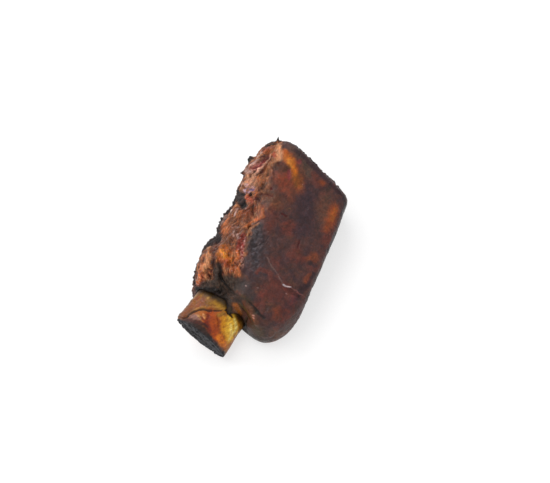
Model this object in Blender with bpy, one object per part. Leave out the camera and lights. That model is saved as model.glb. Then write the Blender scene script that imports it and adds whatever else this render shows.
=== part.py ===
"""Roasted short rib: a thick block of meat on one flat rib bone, whose bare sawn end sticks out.

Metres, +Z up. The bone runs along X with its bare end at -X, and the rib rests on the flat of its underside.
Both solids share one way of placing points: an angle round the bone and a station along it.
"""

import itertools
import math

import bmesh
import bpy
import numpy as np

# Bone: a flat oval, rolled about X so that its -Y edge lies low
BONE_WIDTH = 0.0385
BONE_CROWN = 0.0105
BONE_BELLY = 0.0066
BONE_CORNER_POWER = 1.85
BONE_ROLL = math.radians(24)
BONE_MIDDLE_Y = 0.0020
BONE_MIDDLE_Z = 0.0145
BONE_BARE_END_X = -0.0880
BONE_FAR_END_X = 0.0420
BONE_SKEW = 0.03
BONE_RIM = 0.0012
BONE_FLARE = 0.05
BONE_LUMP = 0.0005
FILM_STEP = 0.0007

# Meat: a block cut by planes, each given by a point that it passes and by its normal's bearing and climb
CORNER_ROUNDING = 0.0028
LOBE_BLEND = 0.0035
MEAT_NEAR_X = -0.0630
MEAT_FAR_X = 0.0590
MEAT_LEFT_Y = 0.0350
MEAT_RIGHT_Y = -0.0430
RIDGE_Y = 0.0077
RIDGE_Z = 0.0465
FLOOR_BITE = 0.0009
MOUTH_TUCK = 0.0022
TONGUE_Y = -0.0060
TONGUE_HALF_WIDTH = 0.0032
TONGUE_LENGTH = 0.0050
POCKET_GAP = 0.0004
FAN_DEPTH = 0.0150
LONGEST_REACH = 0.0900

# Mesh density: segments round the bone, and rows along each solid
SEGMENTS_ROUND = 76
POCKET_ROWS = 6
MEAT_ROWS = 61
BONE_ROWS = 20

# Where both pieces stand, so that the middle of the whole rib's underside is at the origin
SHIFT_TO_ORIGIN = (0.0100, 0.0008, 0.0)

MEAT_COLOUR = (0.090, 0.045, 0.035, 1.0)
BONE_COLOUR = (0.430, 0.200, 0.045, 1.0)


def millimetres(*values):
    """These millimetres as an array in metres."""
    return np.array(values, float) / 1000


def normal_of(bearing, climb):
    """The unit vector that points to this bearing, counted from +X towards +Y, and climbs this much, in degrees."""
    bearing, climb = math.radians(bearing), math.radians(climb)
    return np.array([math.cos(bearing) * math.cos(climb), math.sin(bearing) * math.cos(climb), math.sin(climb)])


def lattice_noise(points, size, seed):
    """Smooth random relief from about -1 to 1 whose lumps are size across: gradient noise on a cubic lattice."""
    draws = np.random.default_rng(seed)
    order = draws.permutation(256)
    slopes = draws.normal(size=(256, 3))
    place = points / size
    cell = np.floor(place).astype(int)
    part = place - cell
    fade = part**3 * (part * (part * 6 - 15) + 10)
    total = np.zeros(points.shape[:-1])
    for corner in itertools.product((0, 1), repeat=3):
        near = (cell + corner) & 255
        pick = order[(order[(order[near[..., 0]] + near[..., 1]) & 255] + near[..., 2]) & 255]
        weight = np.prod(np.where(np.array(corner), fade, 1 - fade), axis=-1)
        total += weight * np.sum(slopes[pick] * (part - corner), axis=-1)
    return 0.8 * total


def smooth_step(values, low, high):
    """0 below low, 1 above high, and an S curve between."""
    share = np.clip((values - low) / (high - low), 0, 1)
    return share * share * (3 - 2 * share)


def meat_planes():
    """The cuts that bound the block, each as a point on it and its outward normal."""
    ridge = [0.0, RIDGE_Y, RIDGE_Z]
    return [
        ([0.0, 0.0, -FLOOR_BITE], normal_of(0, -90)),
        (ridge, normal_of(-95, 70)),  # smooth browned side, sloping down to the right
        (ridge, normal_of(114, 52)),  # torn side, falling to the left
        ([0.0, MEAT_LEFT_Y, 0.015], normal_of(97, -4)),
        ([0.0, MEAT_RIGHT_Y, 0.028], normal_of(-80.5, -16)),
        ([MEAT_NEAR_X, 0.0, 0.015], normal_of(176, 0)),
        ([MEAT_NEAR_X + 0.002, 0.0, 0.031], normal_of(180, 42)),  # bevel down to the bare bone
        ([-0.0535, -0.042, 0.012], normal_of(-133, 6)),
        ([-0.048, -0.0435, 0.012], normal_of(-107, 0)),
        ([-0.0565, 0.0275, 0.015], normal_of(135, 0)),
        ([MEAT_FAR_X, 0.0, 0.035], normal_of(-12, 8)),
        ([0.0565, 0.038, 0.03], normal_of(42, 10)),
    ]


def meat_lobes():
    """The swellings that are blended onto the block, each as a middle and three radii."""
    return [
        (millimetres(-42, 14, 20), millimetres(20, 15, 18)),  # over the bone, beside the bare end
        (millimetres(-50, -29, 13), millimetres(14, 13, 14)),  # foot to the right of the bone
        (millimetres(38, 27, 20), millimetres(18, 11, 17)),  # bulge of the torn side
    ]


def meat_depth(points):
    """How far outside the plain meat each point lies, below 0 inside: cuts rounded together, then lobes blended on."""
    cuts = [(points - np.array(through)) @ normal for through, normal in meat_planes()]
    block = CORNER_ROUNDING * np.logaddexp.reduce([cut / CORNER_ROUNDING for cut in cuts])
    forms = [block]
    for middle, radii in meat_lobes():
        forms.append((np.linalg.norm((points - middle) / radii, axis=-1) - 1) * radii.min())
    blended = -LOBE_BLEND * np.logaddexp.reduce([-form / LOBE_BLEND for form in forms])
    return np.maximum(blended, cuts[0])


def meat_dents():
    """Named hollows and swellings of the surface, each as a middle, three radii and a height."""
    return [
        (millimetres(-12, 36, 22), millimetres(9, 7, 11), 0.0024),  # middle lobe of the left wall
        (millimetres(-28, 35, 21), millimetres(6, 7, 11), 0.0036),  # near lobe of the left wall
        (millimetres(-20, 34, 22), millimetres(3, 6, 10), -0.0010),  # notch between those two lobes
        (millimetres(10, 36, 29), millimetres(11, 6, 8), -0.0022),  # hollow of the left wall, beyond the lobes
        (millimetres(-58, 1, 36), millimetres(9, 7, 9), -0.0026),  # scorched hollow above the bone
        (millimetres(-52, 13, 38), millimetres(12, 2.6, 8), -0.0016),  # crease that runs down to the bone
        (millimetres(-62, -16, 25), millimetres(6, 5, 7), -0.0034),  # fold between bone and foot
        (millimetres(-42, 27, 33), millimetres(10, 5, 8), 0.0016),  # fat swelling at the left edge
        (millimetres(-50, 29, 22), millimetres(8, 6, 9), -0.0008),  # flatter wall under that swelling
        (millimetres(6, 25, 38), millimetres(4, 12, 9), -0.0022),  # gully across the torn side
        (millimetres(34, 33, 40), millimetres(14, 3.5, 6), 0.0020),  # long lip of the torn side
        (millimetres(30, 25, 44), millimetres(13, 3, 7), -0.0016),  # groove above that lip
        (millimetres(47, 41, 38), millimetres(9, 7, 7), -0.0028),  # slanting far corner on the left
        (millimetres(56, 26, 49), millimetres(5, 9, 5), -0.0012),  # worn peak at the far end
        (millimetres(12, -14, 38), millimetres(15, 12, 8), -0.0010),  # shallow dish of the browned side
        (millimetres(-34, -22, 32), millimetres(16, 12, 8), 0.0012),  # swell of the browned side
        (millimetres(46, -33, 31), millimetres(11, 8, 9), -0.0016),  # worn far corner on the right
        (millimetres(-40, -44, 16), millimetres(10, 6, 12), 0.0016),  # fuller wall beside the foot
    ]


def torn_share(points):
    """1 on the torn side of the ridge, 0 on the smooth browned side."""
    ridge_line = RIDGE_Y + 0.265 * points[..., 0]
    return smooth_step(points[..., 1] - ridge_line, -0.003, 0.007)


def meat_relief(points):
    """How far the real surface stands out from the plain meat: swells, crags of the torn side, dents."""
    torn = torn_share(points)
    swell = 0.0010 * lattice_noise(points, millimetres(26, 20, 20), 3)
    ripple = 0.0007 * lattice_noise(points, millimetres(14, 9, 10), 5)
    crags = 1 - 2 * np.abs(lattice_noise(points, millimetres(18, 11, 12), 11))
    chips = lattice_noise(points, millimetres(9, 8, 8), 17)
    relief = swell + ripple + torn * (0.0024 * crags + 0.0013 * chips)
    for middle, radii, height in meat_dents():
        relief += height * np.exp(-np.sum(((points - middle) / radii) ** 2, axis=-1))
    return relief


def bone_radius(angle):
    """Distance from the bone's middle to its surface, at this angle round X from +Y towards +Z: two half ovals."""
    across, over = np.cos(angle - BONE_ROLL), np.sin(angle - BONE_ROLL)
    thickness = np.where(over > 0, BONE_CROWN, BONE_BELLY)
    power = BONE_CORNER_POWER
    return (np.abs(across / (BONE_WIDTH / 2)) ** power + np.abs(over / thickness) ** power) ** (-1 / power)


def round_the_bone(x, radius, angle):
    """The points at these distances along X and out from the bone's middle line."""
    return np.stack([x, BONE_MIDDLE_Y + radius * np.cos(angle), BONE_MIDDLE_Z + radius * np.sin(angle)], axis=-1)


def reach_to_surface(start, way):
    """Distance from each start, along its way, to the plain meat's surface, by halving the interval."""
    low = np.zeros(start.shape[:-1])
    high = np.full(start.shape[:-1], LONGEST_REACH)
    for _ in range(40):
        middle = (low + high) / 2
        inside = meat_depth(start + middle[..., None] * way) < 0
        low = np.where(inside, middle, low)
        high = np.where(inside, high, middle)
    return (low + high) / 2


def meat_surface(angle, station):
    """The meat's outside, from the ring round the bone's bare end at station 0 to the far end's middle at 1.

    Each point is reached from the bone's pocket along a ray that fans from -X, through straight out, to +X.
    """
    knots = [0, 0.23, 0.72, 0.90, 1]
    fan = math.pi * np.interp(station, knots, [1, 0.5, 0.5, 0, 0])
    x = np.interp(station, knots, [MEAT_NEAR_X + FAN_DEPTH] * 2 + [MEAT_FAR_X - FAN_DEPTH] * 3)
    share = np.interp(station, knots, [1, 1, 1, 1, 0])
    start = round_the_bone(x, share * (bone_radius(angle) + POCKET_GAP), angle)
    way = np.stack([np.cos(fan), np.sin(fan) * np.cos(angle), np.sin(fan) * np.sin(angle)], axis=-1)
    reach = reach_to_surface(start, way)
    plain = start + reach[..., None] * way
    clear_of_floor = smooth_step(plain[..., 2], 0.0, 0.006)
    from_mouth = np.linalg.norm(plain[..., 1:] - start[..., 1:], axis=-1)
    near = np.where(station < 0.3, 1.0, 0.0)
    tuck = -MOUTH_TUCK * near * np.exp(-((from_mouth / 0.0035) ** 2))
    tongue_line = (plain[..., 1] - TONGUE_Y) / TONGUE_HALF_WIDTH
    tongue = TONGUE_LENGTH * near * np.exp(-(tongue_line**2) - (from_mouth / 0.0030) ** 2)
    above = np.where(plain[..., 2] > BONE_MIDDLE_Z, 1.0, 0.0)
    relief = clear_of_floor * (meat_relief(plain) + tuck + above * tongue)
    points = plain + relief[..., None] * way
    points[..., 2] = np.maximum(points[..., 2], 0)
    return points


def reshape(mesh, points):
    """Moves the mesh's vertices to these points, and turns its faces outwards."""
    mesh.vertices.foreach_set("co", points.astype(np.float32).ravel())
    shell = bmesh.new()
    shell.from_mesh(mesh)
    bmesh.ops.triangulate(shell, faces=shell.faces)
    bmesh.ops.recalc_face_normals(shell, faces=shell.faces)
    shell.to_mesh(mesh)
    shell.free()
    mesh.shade_smooth()
    mesh.update()


def sphere_to_shape(name, rows):
    """A new object with a sphere's mesh, and each vertex's angle round the bone and row along it."""
    shell = bmesh.new()
    bmesh.ops.create_uvsphere(shell, u_segments=SEGMENTS_ROUND, v_segments=rows, radius=1.0)
    mesh = bpy.data.meshes.new(name)
    shell.to_mesh(mesh)
    shell.free()
    piece = bpy.data.objects.new(name, mesh)
    piece.location = SHIFT_TO_ORIGIN
    bpy.context.collection.objects.link(piece)
    places = np.empty(len(mesh.vertices) * 3, np.float32)
    mesh.vertices.foreach_get("co", places)
    places = places.reshape(-1, 3).astype(float)
    angle = np.arctan2(places[:, 1], places[:, 0])
    row = np.round(np.arccos(np.clip(places[:, 2], -1, 1)) / math.pi * rows).astype(int)
    return piece, angle, row


def make_meat():
    """Rows from the bottom of the bone's pocket, out along its wall, and over the outside to the far end."""
    meat, angle, row = sphere_to_shape("meat", POCKET_ROWS + MEAT_ROWS)
    outside = meat_surface(angle, np.clip((row - POCKET_ROWS) / MEAT_ROWS, 0, 1))
    mouth_x = meat_surface(angle, np.zeros_like(angle))[:, 0]
    bottom_x = BONE_FAR_END_X + POCKET_GAP
    along = np.clip((row - 2) / (POCKET_ROWS - 2), 0, 1)
    share = np.interp(row, [0, 1, 2], [0, 0.55, 1])
    pocket_x = bottom_x + along * (mouth_x - bottom_x)
    pocket = round_the_bone(pocket_x, share * (bone_radius(angle) + POCKET_GAP), angle)
    reshape(meat.data, np.where((row < POCKET_ROWS)[:, None], pocket, outside))
    return meat


def film_edge_x(angle):
    """Where the thin film on the bone ends: at the very tip on the left edge, and further in towards the right."""
    across = np.cos(angle - BONE_ROLL)
    return np.interp(across, [-1, -0.2, 0.55, 0.85, 1], [-0.070, -0.0745, -0.0790, -0.0860, -0.0930])


def make_bone():
    """Rows from the sawn bare end, along the shaft, to the far end inside the meat."""
    bone, angle, row = sphere_to_shape("bone", BONE_ROWS)
    tip, far = BONE_BARE_END_X, BONE_FAR_END_X
    bare = MEAT_NEAR_X - tip
    x_of_row = [tip + 0.0009, tip + 0.0006, tip + 0.0002, tip, tip + BONE_RIM]
    x_of_row += [tip + bare * share for share in np.linspace(0.14, 1.10, 11)]
    x_of_row += [far - BONE_RIM, far, far, far, far]
    share_of_row = [0, 0.45, 0.8, 0.95, 1] + [1] * 12 + [0.95, 0.6, 0.3, 0]
    x = np.array(x_of_row)[row]
    share = np.array(share_of_row)[row]
    bareness = smooth_step(MEAT_NEAR_X - 0.0035 - x, 0, 0.005)
    surface = round_the_bone(x, bone_radius(angle), angle)
    lumps = BONE_LUMP * lattice_noise(surface, millimetres(9, 6, 6), 23)
    film = -FILM_STEP * smooth_step(film_edge_x(angle) - x, -0.0015, 0.0015)
    growth = bareness * (lumps + film + BONE_FLARE * bone_radius(angle) * smooth_step(-x, -MEAT_NEAR_X, -tip))
    radius = share * (bone_radius(angle) + growth)
    at_tip = smooth_step(MEAT_NEAR_X - x, 0, bare)
    x = x + at_tip * BONE_SKEW * radius * np.cos(angle - BONE_ROLL)
    reshape(bone.data, round_the_bone(x, radius, angle))
    return bone


def paint(piece, colour, roughness):
    """Gives the piece one plain material."""
    finish = bpy.data.materials.new(piece.name)
    finish.use_nodes = True
    shader = finish.node_tree.nodes["Principled BSDF"]
    shader.inputs["Base Color"].default_value = colour
    shader.inputs["Roughness"].default_value = roughness
    shader.inputs["Metallic"].default_value = 0.0
    finish.diffuse_color = colour
    piece.data.materials.append(finish)


def main():
    for old in list(bpy.data.objects):
        bpy.data.objects.remove(old, do_unlink=True)
    rib = bpy.data.collections.new("short_rib")
    bpy.context.scene.collection.children.link(rib)
    bpy.context.view_layer.active_layer_collection = bpy.context.view_layer.layer_collection.children[rib.name]
    paint(make_meat(), MEAT_COLOUR, 0.45)
    paint(make_bone(), BONE_COLOUR, 0.35)


main()
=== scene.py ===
# Roasted short rib with its bare bone end, on a plain pale floor
import itertools
import math

import bpy
import numpy as np
from mathutils import Matrix, Vector


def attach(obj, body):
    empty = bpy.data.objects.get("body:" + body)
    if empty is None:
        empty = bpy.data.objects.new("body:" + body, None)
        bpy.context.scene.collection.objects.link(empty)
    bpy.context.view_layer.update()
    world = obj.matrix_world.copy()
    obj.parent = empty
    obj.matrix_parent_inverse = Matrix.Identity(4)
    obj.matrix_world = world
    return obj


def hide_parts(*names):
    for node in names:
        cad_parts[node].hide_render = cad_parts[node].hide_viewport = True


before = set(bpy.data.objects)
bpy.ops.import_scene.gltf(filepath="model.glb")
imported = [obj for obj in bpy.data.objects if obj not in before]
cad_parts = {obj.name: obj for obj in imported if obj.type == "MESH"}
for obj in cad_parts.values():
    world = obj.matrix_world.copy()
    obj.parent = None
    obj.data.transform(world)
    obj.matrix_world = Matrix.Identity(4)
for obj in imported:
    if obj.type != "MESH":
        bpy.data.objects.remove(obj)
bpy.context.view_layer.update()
ribPlace = np.array([0.0100, 0.0008, 0.0])  # where the rib's own zero stands in the frame
print("frame loaded:", ", ".join(sorted(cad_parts)))


# Shared maths

def mm(values):
    # metres from millimetres: a thousandth
    return np.array(values, float) / 1000


def facing(bearing, climb):
    # unit vector at this bearing from +X towards +Y, climbing this much, in degrees
    bearing, climb = math.radians(bearing), math.radians(climb)
    level = math.cos(climb)
    return np.array([math.cos(bearing) * level, math.sin(bearing) * level, math.sin(climb)])


nearSight = facing(211, 58)  # towards someone who looks down at the rib's near end


def ease(values, low, high):
    # 0 below low, 1 above high, an S curve between
    share = np.clip((values - low) / (high - low), 0, 1)
    return share * share * (3 - 2 * share)


def blend(below, above, share):
    # this share of the way from below to above
    return below + share[..., None] * (np.asarray(above) - below)


def bumpNoise(points, size, seed):
    # gradient noise on a cubic lattice, about -1 to 1, lumps of this size in mm along x, y, z
    draws = np.random.default_rng(seed)
    order = draws.permutation(256)
    slopes = draws.normal(size=(256, 3))
    place = points / mm(size)
    cell = np.floor(place).astype(int)
    part = place - cell
    fade = part**3 * (part * (part * 6 - 15) + 10)
    total = np.zeros(points.shape[:-1])
    for corner in itertools.product((0, 1), repeat=3):
        near = (cell + corner) & 255
        pick = order[(order[(order[near[..., 0]] + near[..., 1]) & 255] + near[..., 2]) & 255]
        weight = np.prod(np.where(np.array(corner), fade, 1 - fade), axis=-1)
        total += weight * np.sum(slopes[pick] * (part - corner), axis=-1)
    return 0.8 * total


def layeredNoise(points, size, seed, layers=3, gain=0.5):
    # each layer is half as large and gain times as strong as the one before
    total = np.zeros(points.shape[:-1])
    for layer in range(layers):
        total += gain**layer * bumpNoise(points, np.array(size) / 2**layer, seed + layer)
    return total


def ridges(points, size, seed, layers=2):
    # sharp crests near 1 with round valleys between, about 0 on average
    total = np.zeros(points.shape[:-1])
    for layer in range(layers):
        crease = np.abs(bumpNoise(points, np.array(size) / 2**layer, seed + layer))
        total += 0.5**layer * (0.62 - 2.4 * crease)
    return total


def shifted(points, size, amount, seed):
    # the same points moved about by noise, so that what is laid on them gets a wandering outline
    moves = [bumpNoise(points, size, seed + turn) for turn in range(3)]
    return points + amount / 1000 * np.stack(moves, axis=-1)


def nearby(points, middle, radii):
    # 1 at a place in mm, fading to 0 beyond these radii as a bell curve does
    return np.exp(-np.sum(((points - mm(middle)) / mm(radii)) ** 2, axis=-1))


def ontoSurface(path, surface, marked):
    # each place of the path moved onto the surface, mostly along the sight line
    flat = surface.reshape(-1, 3)
    moved = []
    for place in mm(path):
        gap = flat - place
        deep = gap @ nearSight
        nearest = np.argmin(np.sum(gap * gap, axis=-1) - 0.97 * deep * deep)
        moved.append(marked.reshape(-1, 3)[nearest])
    return np.array(moved)


def awayFromPath(points, path):
    # distance from every point to the line through the path, and how far along it that is, 0 to 1
    if len(path) == 1:
        return np.linalg.norm(points - path[0], axis=-1), np.full(points.shape[:-1], 0.5)
    lengths = np.linalg.norm(np.diff(path, axis=0), axis=1)
    starts = np.concatenate([[0], np.cumsum(lengths)])
    best = np.full(points.shape[:-1], 9.0)
    along = np.zeros(points.shape[:-1])
    for leg in range(len(lengths)):
        step = path[leg + 1] - path[leg]
        share = np.clip((points - path[leg]) @ step / (step @ step), 0, 1)
        away = np.linalg.norm(points - path[leg] - share[..., None] * step, axis=-1)
        closer = away < best
        best = np.where(closer, away, best)
        along = np.where(closer, (starts[leg] + share * lengths[leg]) / starts[-1], along)
    return best, along


def paintTone(tones, name):
    # colour for the shader from the colour as it looks in daylight: linear, less what the sheen adds
    value = np.array(tones[name]) / 255
    linear = np.where(value < 0.04045, value / 12.92, ((value + 0.055) / 1.055) ** 2.4)
    return np.maximum(linear * tones["gain"] - tones["sheen"], linear * 0.25)


def coated(points, tones, base, coats):
    # a base tone under coats, each a tone, its share, and the field and limits between which it sets in
    skin = np.zeros(points.shape) + paintTone(tones, base)
    for name, share, field, low, high in coats:
        skin = blend(skin, paintTone(tones, name), share * ease(field, low, high))
    return skin


def mark(path, half, tone=None, share=0.9, lift=0.0, soft=0.45, gloss=None, grit=0):
    # grit 1 breaks the mark up into specks, and -1 into the gaps between the same specks
    return dict(path=path, half=half, tone=tone, share=share, lift=lift, soft=soft, gloss=gloss, grit=grit)


def layMarks(points, outside, wandering, marks, tones, skin, gloss):
    # each mark lifts the surface and tints it within its half width, thinner towards the ends of its path
    lift = np.zeros(points.shape[:-1])
    ragged = bumpNoise(points, (2.6, 2.6, 2.6), 31) + 0.6 * bumpNoise(points, (1.4, 1.4, 1.4), 32)
    specks = bumpNoise(points, (2.3, 1.7, 1.7), 33) + 0.5 * bumpNoise(points, (1.2, 1.2, 1.2), 34)
    for entry in marks.values():
        away, along = awayFromPath(wandering, ontoSurface(entry["path"], outside, wandering))
        half = entry["half"] / 1000 * (0.7 + 0.3 * np.sin(math.pi * np.clip(along, 0.02, 0.98)))
        lift += entry["lift"] / 1000 * np.exp(-((away / half) ** 2))
        spread = entry["share"] * ease(1 - away / half + 0.22 * ragged, -entry["soft"], entry["soft"])
        if entry["grit"]:
            spread = spread * ease(entry["grit"] * specks, 0.0, 0.4)
        if entry["tone"]:
            skin = blend(skin, paintTone(tones, entry["tone"]), spread)
        if entry["gloss"] is not None:
            gloss = gloss + spread * (entry["gloss"] - gloss)
    return lift, skin, gloss


def evenSteps(curve, count, weights=None):
    # positions along a dense curve, so that equal steps have equal weighted length
    lengths = np.linalg.norm(np.diff(curve, axis=0), axis=1)
    if weights is not None:
        lengths = lengths * weights[:-1]
    travelled = np.concatenate([[0], np.cumsum(lengths)])
    return np.interp(np.linspace(0, travelled[-1], count), travelled, np.linspace(0, 1, len(curve)))


def sheetNormals(points):
    # normals of a grid that closes on itself sideways: cross product of its two directions
    around = np.roll(points, -1, axis=1) - np.roll(points, 1, axis=1)
    along = np.gradient(points, axis=0)
    normal = np.cross(around, along)
    return normal / np.maximum(np.linalg.norm(normal, axis=-1, keepdims=True), 1e-12)


def closedPiece(name, rings, attributes):
    # a mesh from rings of points, its first and last ring closed by a fan to their middle
    rows, columns = rings.shape[:2]
    body = (rings + ribPlace).reshape(-1, 3)
    ends = np.array([rings[0].mean(axis=0), rings[-1].mean(axis=0)]) + ribPlace
    column = np.arange(columns)
    beside = (column + 1) % columns
    row = np.arange(rows - 1)[:, None] * columns
    quads = np.stack([row + column, row + beside, row + columns + beside, row + columns + column], axis=-1)
    quads = quads.reshape(-1, 4)
    firstFan = np.stack([np.full(columns, rows * columns), beside, column], axis=-1)
    top = (rows - 1) * columns
    lastFan = np.stack([np.full(columns, rows * columns + 1), top + column, top + beside], axis=-1)
    faces = quads.tolist() + firstFan.tolist() + lastFan.tolist()
    mesh = bpy.data.meshes.new(name)
    mesh.from_pydata(np.concatenate([body, ends]).tolist(), [], faces)
    for label, values in attributes.items():
        wide = values.ndim == 3
        layer = mesh.attributes.new(label, "FLOAT_VECTOR" if wide else "FLOAT", "POINT")
        tips = [values[0].mean(axis=0), values[-1].mean(axis=0)]
        flat = np.concatenate([values.reshape(rows * columns, -1), np.reshape(tips, (2, -1))])
        layer.data.foreach_set("vector" if wide else "value", flat.astype(np.float32).ravel())
    mesh.shade_smooth()
    mesh.update()
    piece = bpy.data.objects.new(name, mesh)
    bpy.context.scene.collection.objects.link(piece)
    print(name, "made:", len(faces), "faces")
    return piece


# The bone's form

boneForm = {
    "width": 0.0385,
    "crown": 0.0105,
    "belly": 0.0066,
    "corner": 1.85,
    "roll": math.radians(24),
    "middleY": 0.0020,
    "middleZ": 0.0145,
    "bareEnd": -0.0880,
    "farEnd": 0.0420,
    "skew": 0.03,
    "flare": 0.05,
    "filmStep": 0.0008,
    "rim": 0.0012,
    "sawnDepth": 0.0016,
    "columns": 300,
    "bareRows": 96,
    "endRows": 34,
}


def boneRadius(angle):
    # two half ovals of one width, rolled about x: distance from the middle line to the surface
    across, over = np.cos(angle - boneForm["roll"]), np.sin(angle - boneForm["roll"])
    thickness = np.where(over > 0, boneForm["crown"], boneForm["belly"])
    power = boneForm["corner"]
    oval = np.abs(across / (boneForm["width"] / 2)) ** power + np.abs(over / thickness) ** power
    return oval ** (-1 / power)


def roundTheBone(x, radius, angle):
    # points at this distance and angle from the bone's middle line
    y = boneForm["middleY"] + radius * np.cos(angle)
    return np.stack([x, y, boneForm["middleZ"] + radius * np.sin(angle)], axis=-1)


# The meat's plain form

meatForm = {
    "rounding": 0.0028,
    "lobeBlend": 0.0035,
    "nearX": -0.0630,
    "farX": 0.0590,
    "leftY": 0.0350,
    "rightY": -0.0430,
    "ridgeY": 0.0077,
    "ridgeZ": 0.0465,
    "ridgeSlant": 0.265,
    "floorBite": 0.0009,
    "mouthTuck": 0.0022,
    "tongueY": -0.0060,
    "tongueHalf": 0.0032,
    "tongueLength": 0.0050,
    "pocketGap": 0.0004,
    "fanDepth": 0.0150,
    "fanKnots": [0, 0.23, 0.72, 0.90, 1],
    "tuckReach": 0.0035,
    "tongueReach": 0.0030,
    "farthest": 0.09,
    "halvings": 26,
    "columns": 318,
    "rows": 298,
    "relief": {  # heights in mm
        "thick": 0.85,
        "thin": 0.40,
        "crumbs": 0.22,
        "tornPits": 1.3,
        "grain": 0.14,
        "swells": 0.26,
        "cracks": 0.45,
        "barkPits": 0.25,
        "threads": 0.06,
        "footStripes": 0.45,
        "spikes": 1.9,
        "fringeSink": 0.9,
        "rightSpikes": 0.5,
        "glints": 0.8,
    },
    # painted shade: the next line darkens crust that is steep or faces down
    "steepPaintedShade": (0.34, 0.38, 0.52),  # what is taken off red, green and blue where the crust is steep
    "tornShade": (0.0, 0.04, 0.16),  # and off the torn side
}

meatLobes = [  # middle and radii in mm
    ((-42, 14, 20), (20, 15, 18)),
    ((-50, -29, 13), (14, 13, 14)),
    ((38, 27, 20), (18, 11, 17)),
]

meatDents = [  # middle, radii and height in mm
    ((-12, 36, 22), (9, 7, 11), 2.4),
    ((-28, 35, 21), (6, 7, 11), 3.6),
    ((-20, 34, 22), (3, 6, 10), -1.0),
    ((-58, 1, 36), (9, 7, 9), -2.6),
    ((-52, 13, 38), (12, 2.6, 8), -1.6),
    ((-62, -16, 25), (6, 5, 7), -3.4),
    ((-42, 27, 33), (10, 5, 8), 1.6),
    ((-50, 29, 22), (8, 6, 9), -0.8),
    ((6, 25, 38), (4, 12, 9), -2.2),
    ((34, 33, 40), (14, 3.5, 6), 2.0),
    ((30, 25, 44), (13, 3, 7), -1.6),
    ((47, 41, 38), (9, 7, 7), -2.8),
    ((10, 36, 29), (11, 6, 8), -2.2),
    ((56, 26, 49), (5, 9, 5), -1.2),
    ((12, -14, 38), (15, 12, 8), -1.0),
    ((-34, -22, 32), (16, 12, 8), 1.2),
    ((46, -33, 31), (11, 8, 9), -1.6),
    ((-40, -44, 16), (10, 6, 12), 1.6),
]


def meatCuts(points):
    # signed distances to the planes that bound the block
    near, far = meatForm["nearX"], meatForm["farX"]
    ridge = [0.0, meatForm["ridgeY"], meatForm["ridgeZ"]]
    planes = {
        "floor": ([0.0, 0.0, -meatForm["floorBite"]], facing(0, -90)),
        "smoothTop": (ridge, facing(-95, 70)),
        "tornTop": (ridge, facing(114, 52)),
        "left": ([0.0, meatForm["leftY"], 0.015], facing(97, -4)),
        "right": ([0.0, meatForm["rightY"], 0.028], facing(-80.5, -16)),
        "near": ([near, 0.0, 0.015], facing(176, 0)),
        "nearTop": ([near + 0.002, 0.0, 0.031], facing(180, 42)),
        "footCorner": ([-0.0535, -0.042, 0.012], facing(-133, 6)),
        "footSide": ([-0.048, -0.0435, 0.012], facing(-107, 0)),
        "lobeCorner": ([-0.0565, 0.0275, 0.015], facing(135, 0)),
        "far": ([far, 0.0, 0.035], facing(-12, 8)),
        "farCorner": ([0.0565, 0.038, 0.03], facing(42, 10)),
    }
    return {name: (points - np.array(through)) @ normal for name, (through, normal) in planes.items()}


def meatDepth(points):
    # below 0 inside: rounded cuts joined softly with the lobes
    cuts = meatCuts(points)
    rounding, soft = meatForm["rounding"], meatForm["lobeBlend"]
    forms = [rounding * np.logaddexp.reduce([cut / rounding for cut in cuts.values()])]
    for middle, radii in meatLobes:
        away = np.linalg.norm((points - mm(middle)) / mm(radii), axis=-1)
        forms.append((away - 1) * mm(radii).min())
    blended = -soft * np.logaddexp.reduce([-form / soft for form in forms])
    return np.maximum(blended, cuts["floor"])


def pastRidge(points):
    # how far each point lies beyond the slanting ridge line, on the torn side
    return points[..., 1] - meatForm["ridgeY"] - meatForm["ridgeSlant"] * points[..., 0]


def tornShare(points):
    # 1 on the torn side of the ridge, 0 on the smooth browned side
    return ease(pastRidge(points), -0.003, 0.007)


def coarseRelief(points):
    # soft swells everywhere, crags on the torn side, and the dents
    torn = tornShare(points)
    relief = 0.0010 * bumpNoise(points, (26, 20, 20), 3) + 0.0007 * bumpNoise(points, (14, 9, 10), 5)
    crags = 1 - 2 * np.abs(bumpNoise(points, (18, 11, 12), 11))
    relief += torn * (0.0024 * crags + 0.0013 * bumpNoise(points, (9, 8, 8), 17))
    for middle, radii, height in meatDents:
        relief += mm(height) * nearby(points, middle, radii)
    return relief


def reachSurface(start, way):
    # distance along each ray to the plain form, by halving the interval
    low = np.zeros(start.shape[:-1])
    high = low + meatForm["farthest"]
    for _ in range(meatForm["halvings"]):
        middle = (low + high) / 2
        inside = meatDepth(start + middle[..., None] * way) < 0
        low = np.where(inside, middle, low)
        high = np.where(inside, high, middle)
    return (low + high) / 2


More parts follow.
